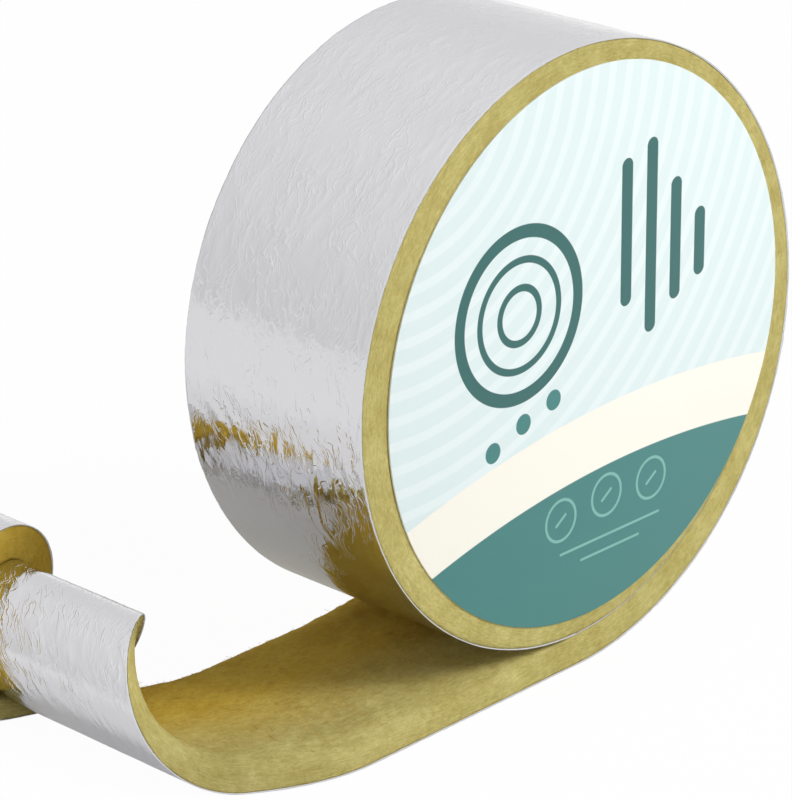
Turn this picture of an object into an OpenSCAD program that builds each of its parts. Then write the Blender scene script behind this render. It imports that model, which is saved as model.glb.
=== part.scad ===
// Roll of foil-faced glass-fibre strip with a flat tail and a curled free end.
// The origin is the middle of the bore. +Y runs along the bore to the open end, +Z is up.

/* [Strip] */
// Width of the strip
strip_w = 76; // [50:1:152]
// Thickness of the glass-fibre blanket as wound
blanket_t = 10.5; // [6:0.5:14]
// Thickness of the foil facing
foil_t = 0.5; // [0.3:0.1:1]

/* [Roll] */
// Outside diameter of the roll across its outermost turn
roll_d = 204; // [150:1:300]
// Diameter of the bore that the winding starts from
bore_d = 40; // [20:1:60]
// Depth of the foil edge that shows between the turns on both ends
seam_depth = 1.5; // [0.5:0.5:4]
// Least blanket left between the innermost foil edge and the bore
core_wall = 4; // [3:1:10]

/* [Free end] */
// Clear distance from the side of the roll to the curl, seen from above
curl_clear = 3.5; // [2:0.5:200]
// Length over which the tail swings into the lead of the curl
swing_l = 41; // [20:1:80]
// Clear diameter inside the first turn of the curl
curl_bore_d = 20; // [18:1:40]
// Sideways lead of one full turn of the curl, in widths of the strip
lead_ratio = 1.25; // [1.25:0.05:1.6]
// Radial gap between the second turn of the curl and the first turn inside it
curl_gap = 0.5; // [0.4:0.1:3]
// Angle through which the free end is curled
curl_angle = 640; // [560:5:650]

/* [Label] */
// Mean margin between the label's edge and the outside of the roll
label_margin = 10; // [8:1:40]
// Thickness of the paper label
label_t = 0.4; // [0.2:0.1:1]
// Sideways shift of the label from the bore axis
label_dx = 4.5; // [0:0.5:6]
// Height of the label centre over the bore axis
label_dz = 2; // [0:0.5:4]

/* [Hidden] */
$fn = 128;
// One turn of blanket and foil
pitch = blanket_t + foil_t;
// Radius of the outermost half turn, whose halves have centres half a pitch apart
roll_r = (roll_d + pitch / 2) / 2;
// Distance of the two centres of the winding from the bore axis
centre_h = pitch / 4;
// Height of the bore axis over the floor
axis_h = roll_r + centre_h;
// Turns whose foil edge shows on the ends, inside the outermost turn
seams = floor((roll_r - 3 * centre_h - foil_t - bore_d / 2 - core_wall) / pitch);

// Outside radii of the first and the second turn of the curl
curl_r = curl_bore_d / 2 + pitch;
curl_r2 = curl_r + pitch + curl_gap;
// Place of the curl's foot, under its axis
curl_x = -(roll_r - pitch / 2) - curl_clear - curl_r2;
// Length of the straight flat tail on the floor
tail_l = -curl_x - swing_l;
// Sideways lead of the first turn of the curl
curl_lead = lead_ratio * strip_w;
// Swing of the tail, as an angle of the curl
swing_a = swing_l / curl_r * 180 / PI;
// Angles between which the lead slackens
slack_from = 230;
slack_to = 304;
// Share of the lead that is left after it slackens
slack_lead = 0.56;
// Sharpness of the bend in which the second turn leaves the floor
floor_bend = 8;
// Angle between two sections of the swept curl
curl_step = 10;
// Diameter of the label
label_d = roll_d - 2 * label_margin;

// Growth of a slope that rises from 0 at a0 to 1 at a1 and stays there
function ramp(a, a0, a1) =
    a < a0 ? 0 : a < a1 ? pow(a - a0, 2) / (2 * (a1 - a0)) : a - (a0 + a1) / 2;

// Outside radius of the second turn: flat on the floor at first, then round the first turn
function second_radius(a) =
    pow(pow(max(0, cos(a)) / curl_r, floor_bend) + pow(curl_r2, -floor_bend), -1 / floor_bend);

// Outside radius of the curl at the angle a
function radius_at(a) = a < 360 ? curl_r : max(curl_r, second_radius(a));

// Sideways travel of the strip at the angle a
function travel_at(a) =
    curl_lead / 360 * (ramp(a, -swing_a, 0) - (1 - slack_lead) * ramp(a, slack_from, slack_to));

// Point of the free end at the angle a, at the depth d under the foil, on one side of the strip
function strip_point(a, d, side) =
    let (r = radius_at(a), turn = max(0, a), flat = max(0, -a) * curl_r * PI / 180)
    [
        curl_x + flat - (r - d) * sin(turn),
        side * strip_w / 2 + travel_at(a),
        curl_r - (r - d) * cos(turn) - axis_h
    ];

// Four corners of the section of a layer between the depths d0 and d1
function section(a, d0, d1) =
    [strip_point(a, d0, -1), strip_point(a, d0, 1), strip_point(a, d1, 1), strip_point(a, d1, -1)];

// Free end of one layer of the strip, from the straight tail to the cut end
module free_end(d0, d1) {
    swing_steps = ceil(swing_a / curl_step);
    turn_steps = ceil(curl_angle / curl_step);
    angles = concat(
        [for (i = [0 : swing_steps - 1]) -swing_a * (1 - i / swing_steps)],
        [for (i = [0 : turn_steps]) curl_angle * i / turn_steps]
    );
    last = len(angles) - 1;
    polyhedron(
        points = [for (a = angles) each section(a, d0, d1)],
        faces = concat(
            [[0, 2, 1], [0, 3, 2]],
            [for (i = [0 : last - 1], k = [0 : 3])
                let (p = 4 * i + k, q = 4 * i + (k + 1) % 4)
                each [[p, q + 4, p + 4], [p, q, q + 4]]],
            [[4 * last, 4 * last + 1, 4 * last + 2], [4 * last, 4 * last + 2, 4 * last + 3]]
        )
    );
}

// Half disc of the winding: side 1 is the right half, side -1 the left half
module half_disc(r, side) {
    translate([0, -side * centre_h])
        intersection() {
            circle(r);
            translate([side > 0 ? 0 : -r, -r]) square([r, 2 * r]);
        }
}

// Half turn of the foil with the outside radius r
module foil_half(r, side) {
    difference() {
        half_disc(r, side);
        translate([0, -side * centre_h]) circle(r - foil_t);
    }
}

// Foil of the turns inside the outermost one, seen from the front
module seam_lines() {
    for (k = [1 : seams]) {
        foil_half(roll_r - k * pitch, 1);
        foil_half(roll_r - (k + 0.5) * pitch, -1);
    }
}

// Straight tail between two heights over the floor
module tail_section(h0, h1) {
    translate([-tail_l, h0 - axis_h]) square([tail_l, h1 - h0]);
}

// Stands a front view up and gives it the width of the strip
module across() {
    rotate([90, 0, 0]) linear_extrude(strip_w, center = true) children();
}

// Foil edges in both ends of the roll
module end_seams() {
    for (side = [-1, 1])
        translate([0, side * (strip_w - seam_depth) / 2, 0])
            rotate([90, 0, 0]) linear_extrude(seam_depth, center = true) seam_lines();
}

module fiberglass_blanket() {
    color("#c6b760") {
        difference() {
            across() difference() {
                union() {
                    half_disc(roll_r - foil_t, 1);
                    half_disc(roll_r - pitch / 2 - foil_t, -1);
                    tail_section(foil_t, pitch);
                }
                circle(d = bore_d);
            }
            end_seams();
        }
        free_end(foil_t, pitch);
    }
}

module foil_facing() {
    color("#d2d2d4") {
        across() {
            foil_half(roll_r, 1);
            foil_half(roll_r - pitch / 2, -1);
            tail_section(0, foil_t);
        }
        end_seams();
        free_end(0, foil_t);
    }
}

module end_label() {
    color("#e6f5f4")
        translate([label_dx, -strip_w / 2, label_dz])
            rotate([90, 0, 0]) cylinder(h = label_t, d = label_d);
}

fiberglass_blanket();
foil_facing();
end_label();
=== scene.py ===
"""Looks of a roll of foil-faced glass-fibre strip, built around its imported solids."""

import math

import bmesh
import bpy
import numpy as np
from mathutils import Matrix, Vector, noise


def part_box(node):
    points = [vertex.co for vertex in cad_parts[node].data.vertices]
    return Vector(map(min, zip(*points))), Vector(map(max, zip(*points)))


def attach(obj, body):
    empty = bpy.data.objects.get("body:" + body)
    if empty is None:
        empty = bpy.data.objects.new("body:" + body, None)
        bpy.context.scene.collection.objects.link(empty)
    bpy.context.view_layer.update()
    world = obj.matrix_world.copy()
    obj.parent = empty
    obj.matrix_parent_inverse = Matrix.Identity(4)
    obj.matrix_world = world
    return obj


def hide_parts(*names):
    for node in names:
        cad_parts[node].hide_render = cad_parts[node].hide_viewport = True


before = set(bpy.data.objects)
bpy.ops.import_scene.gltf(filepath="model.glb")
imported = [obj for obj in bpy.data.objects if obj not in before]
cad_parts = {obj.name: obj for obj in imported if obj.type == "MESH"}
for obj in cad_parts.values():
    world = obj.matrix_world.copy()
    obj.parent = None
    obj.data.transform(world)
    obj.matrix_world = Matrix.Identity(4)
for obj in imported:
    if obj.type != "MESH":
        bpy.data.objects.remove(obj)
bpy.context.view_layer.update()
FOIL_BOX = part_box("foil_facing")
LABEL_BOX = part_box("end_label")

bl_info = {
    "name": "Insulation roll",
    "version": (1, 0, 0),
    "blender": (4, 5, 0),
    "location": "View3D > Sidebar > Insulation",
    "description": "Builds the wound strip, its foil, its label and a plain stage",
    "category": "Object",
}

MM = 0.001

# The curl, as in the solids: the angles between which its lead slackens, the share of the lead that is
# lost there, and the sharpness of the bend in which the second turn leaves the floor
SLACK_FROM, SLACK_TO, SLACK_LOSS = 230, 304, 0.44
FLOOR_BEND = 8
# Distances between stations along the free wool, the wound wool, the foil and its inner edges
FREE_STEP, WOUND_STEP, FOIL_STEP, SEAM_STEP = 1.6 * MM, 3.5 * MM, 1.7 * MM, 4 * MM
# How far the loose edges of the wool round over, and how high its open side is lumped
EDGE_ROUND, LUMP = 2.2 * MM, 0.6 * MM
# Loose fibres on a square metre
FIBRES = 3.2e5
# Nearly all the way across or through the strip
FULL = 0.999

# Levels of the room that the foil mirrors: its mean, its swell, its rise to the top and its clouds
ROOM_MEAN, ROOM_SWELL, ROOM_RISE, ROOM_CLOUD = 0.78, 0.1, 0.17, 0.12
# Level of the even light all round
EVEN_LIGHT = 0.34
# Name, watts, size and place of each lamp
LAMPS = (("key", 127, 1.8, (1.2, -3.0, 2.9)), ("fill", 50, 0.8, (-1.4, 3.7, 0.1)))
# Camera: place in metres, azimuth, elevation and roll in degrees, lens and sensor in millimetres
EYE_PLACE = (-0.8446, -0.77164, 0.43908)
EYE_TURN = (-46.036, 22.08, -0.482)
LENS, SENSOR = 172.25, 36


def linear(code):
    """Linear colour, with alpha, of an sRGB hex code."""
    channels = [int(code[i : i + 2], 16) / 255 for i in (1, 3, 5)]
    return [c / 12.92 if c <= 0.04045 else ((c + 0.055) / 1.055) ** 2.4 for c in channels] + [1.0]


def length(name, description, default):
    """A length property in metres."""
    return bpy.props.FloatProperty(
        name=name, description=description, default=default, unit="LENGTH", precision=5
    )


def colour(name, description, code):
    """A colour property, given as an sRGB hex code."""
    return bpy.props.FloatVectorProperty(
        name=name, description=description, default=linear(code), size=4, subtype="COLOR", min=0, max=1
    )


class StripSizes(bpy.types.PropertyGroup):
    """Sizes of the strip, of the roll and of its curled free end."""

    width: length("Strip width", "Width of the strip", -2 * FOIL_BOX[0].y)
    roll_r: length("Roll radius", "Radius of the outermost half turn", FOIL_BOX[1].x)
    floor: length("Floor", "Height of the floor", FOIL_BOX[0].z)
    pitch: length("Turn", "Thickness of one turn of blanket and foil", 4 * (-FOIL_BOX[0].z - FOIL_BOX[1].x))
    foil: length("Foil", "Space that the foil takes up under its crinkles", 0.5 * MM)
    bore_r: length("Bore radius", "Radius of the bore", 20 * MM)
    turns: bpy.props.IntProperty(
        name="Inner turns", description="Turns inside the outermost one", default=6, min=1
    )
    swing: length("Swing", "Length over which the tail swings into the curl", 41 * MM)
    curl_bore: length("Curl bore", "Clear diameter inside the first turn of the curl", 20 * MM)
    curl_gap: length("Curl gap", "Gap between the two turns of the curl", 0.5 * MM)
    curl_clear: length("Curl clearance", "Distance from the roll's side to the curl", 3.5 * MM)
    lead_ratio: bpy.props.FloatProperty(
        name="Curl lead", description="Lead of one turn of the curl in strip widths", default=1.25
    )
    curl_angle: bpy.props.FloatProperty(
        name="Curl angle", description="Angle of the curl in degrees", default=640
    )


class FinishColours(bpy.types.PropertyGroup):
    """Colours of the finishes."""

    straw: colour("Straw", "Light fibres of the cut edges", "#DCD18A")
    ochre: colour("Ochre", "Dark fibres of the cut edges", "#AC9A4F")
    # Honey and amber are fuller than straw and ochre: partly the open wool's own colour, partly painted
    # shade of the roll over the tail.
    honey: colour("Honey", "Light fibres of the open side", "#ECCE5C")
    amber: colour("Amber", "Dark fibres of the open side", "#C79B2D")
    thread: colour("Thread", "Loose fibres", "#E6CD78")
    foil: colour("Foil", "Aluminium of the facing", "#D8D8DB")
    mint: colour("Mint", "Pale field of the label", "#E3F1F1")
    line: colour("Line", "Fine arcs on the pale field", "#EBF6F6")
    cream: colour("Cream", "Band across the label", "#FFFBEF")
    teal: colour("Teal", "Dark field of the label", "#4E8885")
    ink: colour("Ink", "Dark motifs on the pale field", "#416F6C")
    sea: colour("Sea", "Light motifs on the dark field", "#86BDB4")
    floor: colour("Floor", "Plain pale floor", "#FFFFFF")


def ramp(a, a0, a1):
    """Growth of a slope that rises from 0 at a0 to 1 at a1 and stays there."""
    rising = np.clip(a - a0, 0, a1 - a0) ** 2 / (2 * (a1 - a0))
    return rising + np.maximum(a - a1, 0)


def curl_radii(z):
    """Outside radii of the first and the second turn of the curl."""
    first = z.curl_bore / 2 + z.pitch
    return first, first + z.pitch + z.curl_gap


def curl_foot(z):
    """Place of the curl's foot, under its axis."""
    return -(z.roll_r - z.pitch / 2) - z.curl_clear - curl_radii(z)[1]


def curl_stations(z, a):
    """Stations of the curl at the angles a, in degrees. Negative angles lie on the flat swing."""
    r1, r2 = curl_radii(z)
    swing_a = math.degrees(z.swing / r1)
    turn = np.radians(np.maximum(a, 0))
    # The second turn lies flat on the floor at first, then goes round the first turn.
    outer = ((np.maximum(np.cos(turn), 0) / r1) ** FLOOR_BEND + r2**-FLOOR_BEND) ** (-1 / FLOOR_BEND)
    r = np.where(a < 360, r1, np.maximum(r1, outer))
    flat = np.radians(np.maximum(-a, 0)) * r1
    slack = SLACK_LOSS * ramp(a, SLACK_FROM, SLACK_TO)
    travel = z.lead_ratio * z.width / 360 * (ramp(a, -swing_a, 0) - slack)
    x = curl_foot(z) + flat - r * np.sin(turn)
    return np.column_stack([x, z.floor + r1 - r * np.cos(turn), np.sin(turn), np.cos(turn), travel])


def half_stations(z, r, side, theta):
    """Stations of a half turn of the roll: side 1 is the right half, -1 the left one."""
    c, s = np.cos(theta), np.sin(theta)
    return np.column_stack([r * c, r * s - side * z.pitch / 4, -c, -s, theta * 0])


def free_stations(z, step):
    """Stations from the cut end of the curl along the tail to the foot of the roll.

    A station is a point of the foil's outside, x and z, the way into the strip there, and the sideways
    travel."""
    r1 = curl_radii(z)[0]
    turn_steps = round(math.radians(z.curl_angle) * (r1 + z.pitch / 2) / step)
    start = curl_foot(z) + z.swing
    x = np.linspace(start, 0, round(-start / step) + 1)[1:]
    return np.vstack(
        [
            curl_stations(z, np.linspace(z.curl_angle, 0, turn_steps + 1)),
            curl_stations(z, np.linspace(0, -math.degrees(z.swing / r1), round(z.swing / step) + 1)[1:]),
            np.column_stack([x, x * 0 + z.floor, x * 0, x * 0 + 1, x * 0]),
        ]
    )


def wound_stations(z, step, first, last):
    """Stations of the turns first to last of the roll, from outside inwards."""
    rows = []
    for k in range(first, last + 1):
        for side, r in ((1, z.roll_r - k * z.pitch), (-1, z.roll_r - (k + 0.5) * z.pitch)):
            start = -side * math.pi / 2
            theta = np.linspace(start, start + math.pi, max(24, round(math.pi * r / step)) + 1)
            rows.append(half_stations(z, r, side, theta[1:] if rows else theta))
    return np.vstack(rows)


def run_lengths(stations):
    """Distance along the strip of each station."""
    steps = np.hypot(np.diff(stations[:, 0]), np.diff(stations[:, 1]))
    return np.concatenate([[0], np.cumsum(steps)])


def swept_strip(stations, across, depth, along, marks=None):
    """A closed skin along the stations. across and depth have a row a station, and a column a point of the
    outline.

    Its UV map is the strip laid flat, in metres: the distance along it, and the way round its outline.
    marks names the values that are kept at its points."""
    rows, columns = across.shape
    bm = bmesh.new()
    bmesh.ops.create_grid(bm, x_segments=rows - 1, y_segments=columns, size=0.5)
    place = np.empty((rows, columns, 3))
    place[..., 0] = stations[:, 0, None] + stations[:, 2, None] * depth
    place[..., 1] = stations[:, 4, None] + across
    place[..., 2] = stations[:, 1, None] + stations[:, 3, None] * depth
    outline = np.column_stack([across[rows // 2], depth[rows // 2]])
    around = np.concatenate([[0], np.cumsum(np.linalg.norm(np.roll(outline, -1, 0) - outline, axis=1))])
    uv = bm.loops.layers.uv.new("strip")
    layers = [(bm.verts.layers.float.new(name), values) for name, values in (marks or {}).items()]
    index = {v: (round((v.co.x + 0.5) * (rows - 1)), round((v.co.y + 0.5) * columns)) for v in bm.verts}
    for face in bm.faces:
        for loop in face.loops:
            i, j = index[loop.vert]
            loop[uv].uv = (along[i], around[j])
    for v, (i, j) in index.items():
        v.co = place[i, j % columns]
        for layer, values in layers:
            v[layer] = values[i, j % columns]
    bmesh.ops.remove_doubles(bm, verts=bm.verts, dist=1e-6)
    bmesh.ops.holes_fill(bm, edges=[e for e in bm.edges if e.is_boundary], sides=0)
    bmesh.ops.recalc_face_normals(bm, faces=bm.faces)
    return bm


def new_piece(name, mesh, material):
    """A piece of the object with the finish of a slot."""
    for polygon in mesh.polygons:
        polygon.use_smooth = True
    mesh.materials.clear()
    mesh.materials.append(material)
    piece = bpy.data.objects.new(name, mesh)
    bpy.context.scene.collection.objects.link(piece)
    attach(piece, "root")
    return piece


def mesh_from(*parts):
    """One mesh from one or more bmeshes, which are used up."""
    whole = bmesh.new()
    for part in parts:
        mesh = bpy.data.meshes.new("part")
        part.to_mesh(mesh)
        part.free()
        whole.from_mesh(mesh)
        bpy.data.meshes.remove(mesh)
    mesh = bpy.data.meshes.new("piece")
    whole.to_mesh(mesh)
    whole.free()
    return mesh


def field_noise(points, cell, seed):
    """Smooth noise from -1 to 1 at points in metres, with lumps of the size cell."""
    return np.array([noise.noise(Vector((p[0] / cell, p[1] / cell, seed))) for p in points])


def add(tree, kind, inputs=(), **settings):
    """Adds a node. inputs pairs a socket's name or number with a value or with the socket that feeds it."""
    made = tree.nodes.new(kind if "Node" in kind else "ShaderNode" + kind)
    for key, value in settings.items():
        setattr(made, key, value)
    for key, value in dict(inputs).items():
        if isinstance(value, bpy.types.NodeSocket):
            tree.links.new(value, made.inputs[key])
        else:
            made.inputs[key].default_value = value
    return made


def new_material(name):
    """An empty node material, its tree and its surface socket."""
    material = bpy.data.materials.new(name)
    material.use_nodes = True
    tree = material.node_tree
    tree.nodes.clear()
    return material, tree, add(tree, "OutputMaterial").inputs["Surface"]


def glass_wool(colours):
    """Glass wool, spun and bonded: a matt, cloudy straw yellow with short fibres lying along the strip."""
    material, tree, surface = new_material("glass_wool")
    coords = add(tree, "TexCoord")
    solid = coords.outputs["Object"]
    cloud = add(tree, "TexNoise", {"Vector": solid, "Scale": 1 / (13 * MM), "Detail": 4, "Roughness": 0.6})
    tuft = add(tree, "TexNoise", {"Vector": solid, "Scale": 1 / (2.4 * MM), "Detail": 6, "Roughness": 0.7})
    # Fibres are drawn about ten times as thick as real ones, which would be too thin to see.
    spacing = (1 / (5 * MM), 1 / (0.625 * MM), 1)
    laid = add(
        tree, "Mapping", {"Vector": coords.outputs["UV"], "Rotation": (0, 0, 0.3), "Scale": spacing}
    )
    fibre = add(
        tree,
        "TexNoise",
        {"Vector": laid.outputs[0], "Scale": 1, "Detail": 6, "Roughness": 0.75, "Distortion": 1.5},
    )
    mottle = -0.2
    for grain, weight in ((cloud, 0.6), (tuft, 0.5), (fibre, 1.1)):
        mottle = add(tree, "Math", {0: grain.outputs[0], 1: weight, 2: mottle}, operation="MULTIPLY_ADD")
        mottle = mottle.outputs[0]
    share = add(tree, "MapRange", {0: mottle, 1: 0.6, 2: 1.15}).outputs[0]
    cut = add(tree, "Mix", {0: share, 6: colours.ochre[:], 7: colours.straw[:]}, data_type="RGBA")
    face = add(tree, "Mix", {0: share, 6: colours.amber[:], 7: colours.honey[:]}, data_type="RGBA")
    # The open side takes a fuller colour: partly the wool's own, partly painted shade of the roll over the
    # tail and of the curl's first turn.
    fullness_and_shade = add(tree, "Attribute", attribute_name="fullness_and_shade").outputs["Fac"]
    tint = add(tree, "Mix", {0: fullness_and_shade, 6: cut.outputs[2], 7: face.outputs[2]}, data_type="RGBA")
    height = add(tree, "Math", {0: tuft.outputs[0], 1: fibre.outputs[0]}, operation="ADD")
    bump = add(tree, "Bump", {"Strength": 0.7, "Distance": 0.7 * MM, "Height": height.outputs[0]})
    shader = add(
        tree,
        "BsdfPrincipled",
        {
            "Base Color": tint.outputs[2],
            "Roughness": 0.95,
            "Specular IOR Level": 0.15,
            "Normal": bump.outputs[0],
        },
    )
    tree.links.new(shader.outputs[0], surface)
    return material


def glass_fibre(colours):
    """Loose glass fibres: thin pale threads that catch the light over the wool."""
    material, tree, surface = new_material("glass_fibre")
    where = add(tree, "TexCoord").outputs["Object"]
    blotch = add(tree, "TexNoise", {"Vector": where, "Scale": 1 / (3 * MM), "Detail": 2})
    share = add(tree, "MapRange", {0: blotch.outputs[0], 1: 0.3, 2: 0.7})
    tint = add(
        tree, "Mix", {0: share.outputs[0], 6: colours.amber[:], 7: colours.thread[:]}, data_type="RGBA"
    )
    shader = add(tree, "BsdfPrincipled", {"Base Color": tint.outputs[2], "Roughness": 0.6})
    tree.links.new(shader.outputs[0], surface)
    return material


def aluminium_foil(colours):
    """Thin aluminium foil, rolled and handled: a bright mirror, broken up by fine creases along it."""
    material, tree, surface = new_material("aluminium_foil")
    flat = add(tree, "TexCoord").outputs["UV"]
    bent = add(tree, "TexNoise", {"Vector": flat, "Scale": 1 / (13 * MM), "Detail": 2})
    shift = add(
        tree,
        "VectorMath",
        {0: bent.outputs["Color"], 1: (0, 12 * MM, 0), 2: flat},
        operation="MULTIPLY_ADD",
    ).outputs[0]
    along = add(tree, "Mapping", {"Vector": shift, "Scale": (1 / (9 * MM), 1 / (3.2 * MM), 1)})
    swell = add(tree, "TexNoise", {"Vector": along.outputs[0], "Scale": 1, "Detail": 2, "Roughness": 0.5})
    # A crease runs where the swell passes its mean.
    off = add(tree, "Math", {0: swell.outputs[0], 1: 0.5}, operation="SUBTRACT")
    off = add(tree, "Math", {0: off.outputs[0]}, operation="ABSOLUTE")
    crease = add(
        tree, "MapRange", {0: off.outputs[0], 1: 0.0, 2: 0.05, 3: 1, 4: 0}, interpolation_type="SMOOTHSTEP"
    )
    # The finest creases are drawn coarser than real ones, which would be too thin to see.
    across = add(tree, "Mapping", {"Vector": shift, "Scale": (1 / (1.8 * MM), 1 / (0.8 * MM), 1)})
    fine = add(tree, "TexNoise", {"Vector": across.outputs[0], "Scale": 1, "Detail": 3, "Roughness": 0.6})
    # Some patches are crumpled, others are almost smooth.
    patch = add(tree, "MapRange", {0: bent.outputs[0], 1: 0.35, 2: 0.65, 3: 0.1, 4: 1})
    height = add(tree, "Math", {0: fine.outputs[0], 1: 0.8, 2: crease.outputs[0]}, operation="MULTIPLY_ADD")
    height = add(tree, "Math", {0: height.outputs[0], 1: patch.outputs[0]}, operation="MULTIPLY")
    # Where it faces the tail it is smoother.
    calm = add(tree, "Attribute", attribute_name="calm").outputs["Fac"]
    left = add(tree, "MapRange", {0: calm, 3: 1, 4: 0.3})
    height = add(tree, "Math", {0: height.outputs[0], 1: left.outputs[0]}, operation="MULTIPLY")
    bump = add(tree, "Bump", {"Strength": 0.6, "Distance": 0.16 * MM, "Height": height.outputs[0]})
    rub = add(tree, "MapRange", {0: fine.outputs[0], 1: 0.3, 2: 0.7, 3: 0.05, 4: 0.1})
    shader = add(
        tree,
        "BsdfPrincipled",
        {
            "Base Color": colours.foil[:],
            "Metallic": 1.0,
            "Roughness": rub.outputs[0],
            "Normal": bump.outputs[0],
        },
    )
    tree.links.new(shader.outputs[0], surface)
    return material


def bar(tree, flat, centre, half, radius, turn=0.0, outline=0.0):
    """Share of a printed bar with round ends, or of its outline. Without length it is a dot or a ring."""
    placed = add(
        tree,
        "Mapping",
        {"Vector": flat, "Location": (*centre, 0), "Rotation": (0, 0, turn)},
        vector_type="TEXTURE",
    )
    folded = add(tree, "VectorMath", {0: placed.outputs[0]}, operation="ABSOLUTE")
    beyond = add(tree, "VectorMath", {0: folded.outputs[0], 1: (half, 0, 0)}, operation="SUBTRACT")
    outside = add(tree, "VectorMath", {0: beyond.outputs[0]}, operation="MAXIMUM")
    reach = add(tree, "VectorMath", {0: outside.outputs[0]}, operation="LENGTH").outputs["Value"]
    if outline:
        off = add(tree, "Math", {0: reach, 1: radius}, operation="SUBTRACT")
        reach = add(tree, "Math", {0: off.outputs[0]}, operation="ABSOLUTE").outputs[0]
        radius = outline
    inside = {0: reach, 1: radius - 0.1 * MM, 2: radius + 0.1 * MM, 3: 1, 4: 0}
    return add(tree, "MapRange", inside).outputs[0]


def coated_paper(colours, centre, radius):
    """Coated label paper, printed in flat colours: smooth, with a faint gloss and a trace of grain."""
    material, tree, surface = new_material("coated_paper")
    where = add(tree, "TexCoord").outputs["Object"]
    local = add(tree, "VectorMath", {0: where, 1: centre}, operation="SUBTRACT")
    parts = add(tree, "SeparateXYZ", {0: local.outputs[0]})
    flat = add(tree, "CombineXYZ", {0: parts.outputs[0], 1: parts.outputs[2]}).outputs[0]
    # Fine arcs across the pale field.
    far = add(tree, "VectorMath", {0: flat, 1: (-0.9 * radius, 1.1 * radius, 0)}, operation="SUBTRACT")
    reach = add(tree, "VectorMath", {0: far.outputs[0]}, operation="LENGTH")
    wave = add(tree, "Math", {0: reach.outputs["Value"], 1: 4 * MM}, operation="PINGPONG")
    arcs = add(tree, "MapRange", {0: wave.outputs[0], 1: 2.3 * MM, 2: 2.5 * MM})
    # The dark field is bounded by a wide arc, with the cream band along it.
    below = add(tree, "VectorMath", {0: flat, 1: (0.25 * radius, -4.4 * radius, 0)}, operation="SUBTRACT")
    rise = add(tree, "VectorMath", {0: below.outputs[0]}, operation="LENGTH").outputs["Value"]
    band = add(tree, "MapRange", {0: rise, 1: 4.17 * radius, 2: 4.173 * radius, 3: 1, 4: 0}).outputs[0]
    dark = add(tree, "MapRange", {0: rise, 1: 3.94 * radius, 2: 3.943 * radius, 3: 1, 4: 0}).outputs[0]
    layers = [(arcs.outputs[0], colours.line), (band, colours.cream), (dark, colours.teal)]
    # A roll seen from its end, and warmth that rises beside it.
    for size, width in ((27, 2.2), (18, 1.2), (9, 1.2)):
        ring = bar(tree, flat, (-34 * MM, 20 * MM), 0, size * MM, outline=width * MM)
        layers.append((ring, colours.ink))
    for x, middle, half in ((16, 34, 22), (28, 30, 30), (40, 26, 18), (52, 22, 9)):
        upright = bar(tree, flat, (x * MM, middle * MM), half * MM, 2.6 * MM, turn=math.pi / 2)
        layers.append((upright, colours.ink))
    # Dots over the band, then rings and fine lines on the dark field.
    for x, z in ((-46, -22), (-32, -16.5), (-18, -12.5)):
        layers.append((bar(tree, flat, (x * MM, z * MM), 0, 3.4 * MM), colours.teal))
    for x, z in ((-14, -55), (8, -53), (30, -54)):
        layers.append((bar(tree, flat, (x * MM, z * MM), 0, 7 * MM, outline=0.5 * MM), colours.sea))
        layers.append((bar(tree, flat, (x * MM, z * MM), 2.6 * MM, 0.5 * MM, turn=0.6), colours.sea))
    for z, half in ((-67, 24), (-72, 14)):
        layers.append((bar(tree, flat, (10 * MM, z * MM), half * MM, 0.45 * MM), colours.sea))
    # The back is not printed. It shows through the bore.
    back = add(tree, "MapRange", {0: parts.outputs[1], 1: 0.1 * MM, 2: 0.2 * MM})
    layers.append((back.outputs[0], colours.cream))
    shade = colours.mint[:]
    for share, paint in layers:
        shade = add(tree, "Mix", {0: share, 6: shade, 7: paint[:]}, data_type="RGBA").outputs[2]
    grain = add(tree, "TexNoise", {"Vector": where, "Scale": 1 / (0.9 * MM), "Detail": 4})
    bump = add(tree, "Bump", {"Strength": 0.08, "Distance": 0.1 * MM, "Height": grain.outputs[0]})
    shader = add(
        tree,
        "BsdfPrincipled",
        {"Base Color": shade, "Roughness": 0.5, "Specular IOR Level": 0.3, "Normal": bump.outputs[0]},
    )
    tree.links.new(shader.outputs[0], surface)
    return material


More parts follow.
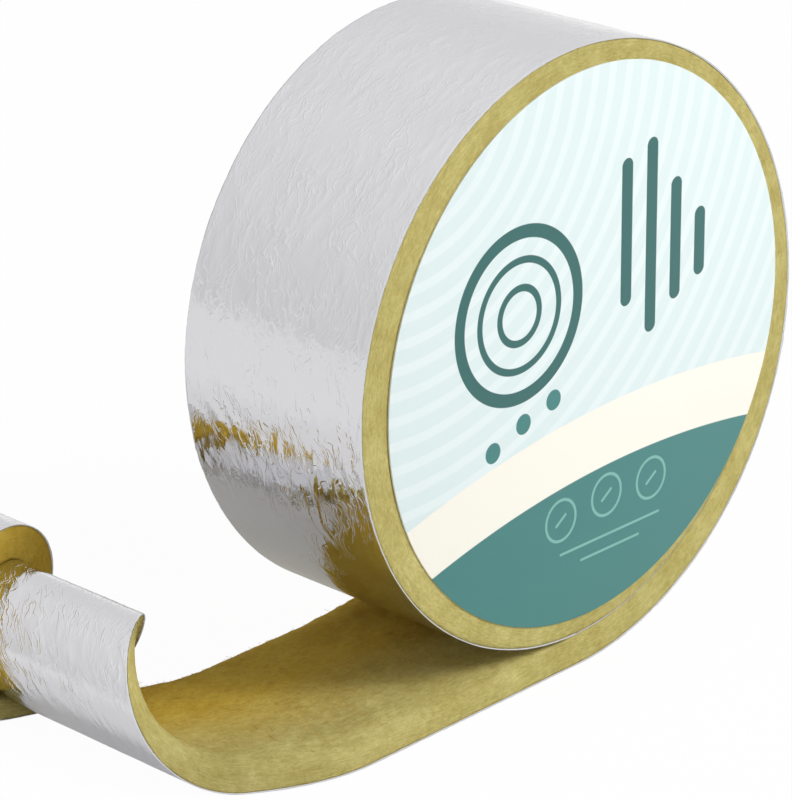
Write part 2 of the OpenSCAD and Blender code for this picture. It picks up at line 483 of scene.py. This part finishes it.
def fibre_nodes():
    """Geometry nodes that set short bent fibres on a surface, as many as its fuzz says."""
    tree = bpy.data.node_groups.new("loose_fibres", "GeometryNodeTree")
    tree.interface.new_socket("Surface", in_out="INPUT", socket_type="NodeSocketGeometry")
    tree.interface.new_socket("Fibres", in_out="OUTPUT", socket_type="NodeSocketGeometry")
    surface = add(tree, "NodeGroupInput").outputs[0]
    density = add(tree, "GeometryNodeInputNamedAttribute", {"Name": "fuzz"}, data_type="FLOAT").outputs[0]
    spread = add(
        tree, "GeometryNodeDistributePointsOnFaces", {"Mesh": surface, "Density": density, "Seed": 7}
    )
    path = add(
        tree,
        "GeometryNodeCurveQuadraticBezier",
        {
            "Resolution": 2,
            "Start": (0, 0, -0.1 * MM),
            "Middle": (0.6 * MM, 0, 0.35 * MM),
            "End": (1.7 * MM, 0, 0.4 * MM),
        },
    )
    # A fibre is drawn about ten times as thick as a real one, which would be too thin to see.
    section = add(tree, "GeometryNodeCurvePrimitiveCircle", {"Resolution": 3, "Radius": 0.04 * MM})
    fibre = add(
        tree, "GeometryNodeCurveToMesh", {"Curve": path.outputs[0], "Profile Curve": section.outputs[0]}
    )
    lean = add(
        tree,
        "FunctionNodeRandomValue",
        {0: (-0.35, -0.35, 0), 1: (0.35, 0.35, 2 * math.pi), "Seed": 3},
        data_type="FLOAT_VECTOR",
    )
    turned = add(
        tree,
        "FunctionNodeRotateRotation",
        {"Rotation": spread.outputs["Rotation"], "Rotate By": lean.outputs[0]},
        rotation_space="LOCAL",
    )
    size = add(tree, "FunctionNodeRandomValue", {2: 0.5, 3: 1.4, "Seed": 5}, data_type="FLOAT")
    placed = add(
        tree,
        "GeometryNodeInstanceOnPoints",
        {
            "Points": spread.outputs["Points"],
            "Instance": fibre.outputs[0],
            "Rotation": turned.outputs[0],
            "Scale": size.outputs[1],
        },
    )
    real = add(tree, "GeometryNodeRealizeInstances", {0: placed.outputs[0]})
    tree.links.new(real.outputs[0], add(tree, "NodeGroupOutput").inputs[0])
    return tree


class ROLL_OT_blanket(bpy.types.Operator):
    """Makes the glass-fibre blanket: the wound roll, its tail and its curl"""

    bl_idname = "insulation.blanket"
    bl_label = "Glass-fibre blanket"

    def execute(self, context):
        z = context.scene.strip_sizes
        free = free_stations(z, FREE_STEP)
        # The innermost turn runs on a little way into the wool beside it, so no slit shows in the bore.
        tip = half_stations(
            z, z.roll_r - (z.turns + 0.5) * z.pitch, -1, np.linspace(1.5 * math.pi, 1.55 * math.pi, 4)[1:]
        )
        wound = np.vstack([wound_stations(z, WOUND_STEP, 0, z.turns), tip])
        stations = np.vstack([free, wound[1:]])
        along = run_lengths(stations)
        # Points of the outline: over the foil, up one edge, across the open side and down the other edge.
        outer, edge, inner = 4, 10, 44
        over, back = np.linspace(-1, 1, outer + 1)[:-1], np.linspace(1, -1, inner + 1)[:-1]
        up, down = np.linspace(0, 1, edge + 1)[:-1], np.linspace(1, 0, edge + 1)[:-1]
        side = np.concatenate([over, np.ones(edge), back, -np.ones(edge)])[None, :]
        level = np.concatenate([np.zeros(outer), up, np.ones(inner), down])[None, :]
        row = np.arange(len(stations))[:, None]
        on_free = row < len(free) - 4
        # The innermost turn fills the room down to the round bore.
        px, pz, nx, nz = stations[:, :4].T
        toward = px * nx + pz * nz
        to_bore = -toward - np.sqrt(np.maximum(toward**2 - (px**2 + pz**2 - z.bore_r**2), 0))
        core = len(free) - 1 + len(wound_stations(z, WOUND_STEP, 0, z.turns - 1))
        thick = np.where(row < core, z.pitch, to_bore[:, None])
        # The second turn of the curl is pressed onto the first one.
        r1, r2 = curl_radii(z)
        from_axis = np.hypot(px - curl_foot(z), pz - z.floor - r1)[:, None]
        pressed = (from_axis > r2 - 1 * MM) & (row < len(free) / 2)
        thick = thick + pressed * 1.4 * z.curl_gap
        # Beside the label the wool of the outermost turn closes over the next foil edge.
        outermost = (row > len(free)) & (row < len(free) - 1 + len(wound_stations(z, WOUND_STEP, 0, 0)))
        thick = thick + (outermost & (px[:, None] < -20 * MM)) * (side < -0.9) * 0.6 * MM
        # Edges are a little crowned. Off the roll they round over into the open side.
        crown = z.width / 2 - 0.05 * MM - 0.3 * MM * np.abs(2 * level - 1) ** 3
        loose = np.clip((len(free) - 4 - row) / 30, 0, 1) * ~pressed
        crown = crown - loose * EDGE_ROUND * np.clip(2 * level - 1, 0, 1) ** 2
        across = side * crown
        near_side = np.clip(1 - (1 - np.abs(side)) * z.width / 2 / (8 * MM), 0, 1) ** 2
        depth = z.foil + level * (thick - z.foil - loose * EDGE_ROUND * near_side)
        # Soft lumps on the edges, and on the open inner side of the tail and the curl.
        run = np.broadcast_to(along[:, None], depth.shape)
        spots = np.stack([run, depth * 1.7 + across], -1).reshape(-1, 2)
        lump = np.abs(field_noise(spots, 4 * MM, 3.7)).reshape(depth.shape)
        soft = np.abs(field_noise(spots, 13 * MM, 9.1)).reshape(depth.shape)
        at_edge = np.abs(side) > FULL
        across = across - np.sign(side) * at_edge * (0.15 * MM * lump + 0.2 * MM * soft)
        open_side = (level > FULL) & on_free
        depth = depth - open_side * ~pressed * (LUMP * lump + LUMP * soft)
        # Painted shade, partly the open wool's own fuller colour: the fuller colour grows from the front
        # edge back under the roll, where the roll shades the tail. It also covers the curl's pressed second
        # turn, which the first turn shades, and it stays off the cut edge at the back.
        from_front = np.clip((side + 1) * z.width / 2 / (46 * MM), 0, 1)
        fullness_and_shade = np.maximum(pressed, from_front**1.8 * open_side)
        fullness_and_shade = fullness_and_shade * ~((side > FULL) & (level < FULL))
        fuzz = np.where(open_side & (np.abs(side) < 0.97), FIBRES, 0)
        bm = swept_strip(stations, across, depth, along, {"fullness_and_shade": fullness_and_shade, "fuzz": fuzz})
        material = glass_wool(context.scene.finish_colours)
        piece = new_piece("glass_fibre_blanket", mesh_from(bm), material)
        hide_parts("fiberglass_blanket")
        return {"FINISHED"}


class ROLL_OT_fibres(bpy.types.Operator):
    """Makes the loose fibres on the open sides of the blanket"""

    bl_idname = "insulation.fibres"
    bl_label = "Loose fibres"

    def execute(self, context):
        blanket = bpy.data.objects["glass_fibre_blanket"]
        holder = bpy.data.objects.new("holder", blanket.data)
        context.scene.collection.objects.link(holder)
        holder.modifiers.new("fibres", "NODES").node_group = fibre_nodes()
        grown = holder.evaluated_get(context.evaluated_depsgraph_get())
        mesh = bpy.data.meshes.new_from_object(grown)
        bpy.data.objects.remove(holder)
        new_piece("loose_fibres", mesh, glass_fibre(context.scene.finish_colours))
        return {"FINISHED"}


class ROLL_OT_foil(bpy.types.Operator):
    """Makes the crinkled foil: round the roll, under the tail, and its edge between the turns"""

    bl_idname = "insulation.foil"
    bl_label = "Foil facing"

    @staticmethod
    def ridges(spots, sway, long, wide, sharp, seed):
        """Heights from 0 to 1 of sharp creases, long and wide apart in millimetres."""
        drawn = np.column_stack([spots[:, 0] / long, (spots[:, 1] + sway) / wide])
        return (1 - np.abs(field_noise(drawn, MM, seed))) ** sharp

    def execute(self, context):
        z = context.scene.strip_sizes
        skin = np.vstack([free_stations(z, FOIL_STEP), wound_stations(z, FOIL_STEP, 0, 0)[1:]])
        along = run_lengths(skin)
        cells = 120
        side = np.concatenate([np.linspace(-1, 1, cells + 1), [1.0, -1.0]])
        under = np.concatenate([np.zeros(cells + 1), [1.0, 1.0]])
        ragged = 0.25 * MM * np.abs(field_noise(np.column_stack([along, along * 0]), 1.9 * MM, 4.4))
        across = side[None, :] * (z.width / 2 - (np.abs(side[None, :]) > FULL) * ragged[:, None])
        spots = np.stack([np.broadcast_to(along[:, None], across.shape), across], -1).reshape(-1, 2)
        wide = field_noise(spots, 22 * MM, 1.3)
        sway = field_noise(spots, 16 * MM, 2.6)
        # Creases lie along the strip and fan out: a few long ones, with short ones in crumpled patches.
        rough = np.clip(0.45 + 1.5 * field_noise(spots, 19 * MM, 8.2), 0.05, 1)
        crease = 0.2 * self.ridges(spots, sway * 12 * MM, 26, 9, 8, 5.9)
        crease += 0.16 * rough * self.ridges(spots, sway * -9 * MM, 9, 4, 5, 7.3)
        crease += 0.1 * rough * self.ridges(spots, sway * 6 * MM, 5, 2.4, 4, 3.1)
        # It is creased most where it faces a little down, and least where it faces the tail.
        down = skin[:, 3, None]
        calm = np.clip((down - 0.28) / 0.2, 0, 1)
        amount = 0.55 + 0.55 * np.clip(0.5 + 2.5 * down, 0, 1) * (1 - calm) - 0.3 * calm
        relief = MM * amount * (0.12 * wide + crease).reshape(across.shape)
        depth = np.where(under[None, :] > 0, 1.2 * z.foil, 0.3 * MM - relief)
        outside = swept_strip(skin, across, depth, along, {"calm": calm * np.ones(across.shape)})
        inner = wound_stations(z, SEAM_STEP, 1, z.turns)
        side = np.array([-1.0, 1.0, 1.0, -1.0])
        level = np.array([0.65, 0.65, 1.1, 1.1])
        run = run_lengths(inner)
        # The edges lie a little deep, and deeper at the front, where the wool closes over them.
        sunk = 0.2 * MM + 0.2 * MM * np.clip(run / 0.05, 0, 1)
        hidden = 0.8 * MM * np.clip(run / 0.1 - 1, 0, 1)
        across = side[None, :] * (z.width / 2 - sunk[:, None] - (side[None, :] < 0) * hidden[:, None])
        depth = z.foil * level[None, :] * np.ones((len(inner), 1))
        inside = swept_strip(inner, across, depth, along[-1] + run)
        material = aluminium_foil(context.scene.finish_colours)
        piece = new_piece("crinkled_foil", mesh_from(outside, inside), material)
        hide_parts("foil_facing")
        return {"FINISHED"}


class ROLL_OT_label(bpy.types.Operator):
    """Makes the round paper label on the front end"""

    bl_idname = "insulation.label"
    bl_label = "Paper label"

    def execute(self, context):
        low, high = LABEL_BOX
        centre = (low + high) / 2
        radius = (high.x - low.x) / 2
        bm = bmesh.new()
        bmesh.ops.create_circle(bm, cap_ends=True, radius=radius, segments=192)
        bmesh.ops.rotate(bm, verts=bm.verts, cent=(0, 0, 0), matrix=Matrix.Rotation(math.pi / 2, 3, "X"))
        bmesh.ops.translate(bm, verts=bm.verts, vec=(centre.x, low.y, centre.z))
        rim = list(bm.edges)
        grown = bmesh.ops.extrude_face_region(bm, geom=list(bm.faces))
        moved = [g for g in grown["geom"] if isinstance(g, bmesh.types.BMVert)]
        # The paper is pressed a little way into the wool.
        bmesh.ops.translate(bm, verts=moved, vec=(0, high.y - low.y + 0.3 * MM, 0))
        bmesh.ops.bevel(
            bm, geom=rim, offset=0.12 * MM, affect="EDGES", segments=2, profile=0.5, material=-1
        )
        bmesh.ops.recalc_face_normals(bm, faces=bm.faces)
        material = coated_paper(context.scene.finish_colours, centre, radius)
        piece = new_piece("round_label", mesh_from(bm), material)
        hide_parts("end_label")
        return {"FINISHED"}


class ROLL_OT_stage(bpy.types.Operator):
    """Makes the floor, the light and the camera"""

    bl_idname = "insulation.stage"
    bl_label = "Stage"

    def execute(self, context):
        scene = context.scene
        bm = bmesh.new()
        bmesh.ops.create_grid(bm, x_segments=1, y_segments=1, size=6)
        bmesh.ops.translate(bm, verts=bm.verts, vec=(0, 0, scene.strip_sizes.floor - 0.2 * MM))
        mesh = mesh_from(bm)
        floor = bpy.data.objects.new("floor", mesh)
        scene.collection.objects.link(floor)
        material, tree, surface = new_material("pale_floor")
        path = add(tree, "LightPath")
        matt = add(tree, "BsdfDiffuse", {"Color": scene.finish_colours.floor[:]})
        bright = add(tree, "Emission", {"Color": (1, 1, 1, 1), "Strength": 1})
        # The foil mirrors a glowing white floor whose glow fades toward the roll: painted shade in the
        # reflection. Near the roll the matt floor shows instead.
        away = add(tree, "VectorMath", {0: add(tree, "TexCoord").outputs["Object"]}, operation="LENGTH")
        glow_shaded_near_roll = add(tree, "MapRange", {0: away.outputs["Value"], 1: 0.15, 2: 0.4, 3: 0.1, 4: 0.95})
        mirrored = add(
            tree, "Math", {0: path.outputs["Is Glossy Ray"], 1: glow_shaded_near_roll.outputs[0]}, operation="MULTIPLY"
        )
        seen = add(
            tree,
            "Math",
            {0: path.outputs["Is Camera Ray"], 1: 0.97, 2: mirrored.outputs[0]},
            operation="MULTIPLY_ADD",
        )
        mixed = add(tree, "MixShader", {0: seen.outputs[0], 1: matt.outputs[0], 2: bright.outputs[0]})
        tree.links.new(mixed.outputs[0], surface)
        mesh.materials.append(material)

        world = bpy.data.worlds.new("studio")
        scene.world = world
        world.use_nodes = True
        tree = world.node_tree
        tree.nodes.clear()
        path = add(tree, "LightPath")
        # What the foil mirrors: a pale room, darker at its front and back, with soft clouds of light.
        way = add(tree, "TexCoord").outputs["Generated"]
        cloud = add(tree, "TexNoise", {"Vector": way, "Scale": 2.2, "Detail": 1})
        parts = add(tree, "SeparateXYZ", {0: way})
        depth = add(tree, "Math", {0: parts.outputs[1]}, operation="ABSOLUTE")
        swell = add(tree, "Math", {0: depth.outputs[0], 1: 4.5, 2: -1.35}, operation="MULTIPLY_ADD")
        swell = add(tree, "Math", {0: swell.outputs[0]}, operation="COSINE")
        room = ROOM_MEAN
        for source, weight in (
            (swell.outputs[0], ROOM_SWELL),
            (parts.outputs[2], ROOM_RISE),
            (cloud.outputs[0], ROOM_CLOUD),
        ):
            room = add(tree, "Math", {0: source, 1: weight, 2: room}, operation="MULTIPLY_ADD").outputs[0]
        level = EVEN_LIGHT
        for ray, shown in (("Is Glossy Ray", room), ("Is Camera Ray", 1.0)):
            mixed = add(tree, "Mix", {0: path.outputs[ray], 2: level, 3: shown}, data_type="FLOAT")
            level = mixed.outputs[0]
        back = add(tree, "Background", {"Color": (1, 1, 1, 1), "Strength": level})
        tree.links.new(back.outputs[0], add(tree, "OutputWorld").inputs["Surface"])

        for name, energy, size, place in LAMPS:
            light = bpy.data.lights.new(name, "AREA")
            light.size = size
            light.energy = energy
            lamp = bpy.data.objects.new(name, light)
            lamp.location = place
            lamp.rotation_euler = (-lamp.location).to_track_quat("-Z", "Y").to_euler()
            lamp.visible_glossy = False
            scene.collection.objects.link(lamp)

        camera = bpy.data.cameras.new("camera")
        camera.sensor_fit = "VERTICAL"
        camera.sensor_height = SENSOR
        camera.lens = LENS
        camera.clip_start = 0.05
        eye = bpy.data.objects.new("camera", camera)
        azimuth, elevation, roll = (math.radians(degrees) for degrees in EYE_TURN)
        turn = (
            Matrix.Rotation(azimuth, 4, "Z")
            @ Matrix.Rotation(math.pi / 2 - elevation, 4, "X")
            @ Matrix.Rotation(roll, 4, "Z")
        )
        eye.matrix_world = Matrix.Translation(EYE_PLACE) @ turn
        scene.collection.objects.link(eye)
        scene.camera = eye
        scene.view_settings.view_transform = "Standard"
        return {"FINISHED"}


class ROLL_PT_panel(bpy.types.Panel):
    """Lists the pieces of the roll"""

    bl_idname = "ROLL_PT_panel"
    bl_label = "Insulation roll"
    bl_space_type = "VIEW_3D"
    bl_region_type = "UI"
    bl_category = "Insulation"

    def draw(self, context):
        for operator in OPERATORS:
            self.layout.operator(operator.bl_idname)


OPERATORS = (ROLL_OT_blanket, ROLL_OT_fibres, ROLL_OT_foil, ROLL_OT_label, ROLL_OT_stage)
CLASSES = (StripSizes, FinishColours, *OPERATORS, ROLL_PT_panel)


def register():
    for cls in CLASSES:
        bpy.utils.register_class(cls)
    bpy.types.Scene.strip_sizes = bpy.props.PointerProperty(type=StripSizes)
    bpy.types.Scene.finish_colours = bpy.props.PointerProperty(type=FinishColours)


def unregister():
    del bpy.types.Scene.finish_colours
    del bpy.types.Scene.strip_sizes
    for cls in reversed(CLASSES):
        bpy.utils.unregister_class(cls)


def main():
    register()
    bpy.ops.insulation.blanket()
    bpy.ops.insulation.fibres()
    bpy.ops.insulation.foil()
    bpy.ops.insulation.label()
    bpy.ops.insulation.stage()


if __name__ == "__main__":
    main()
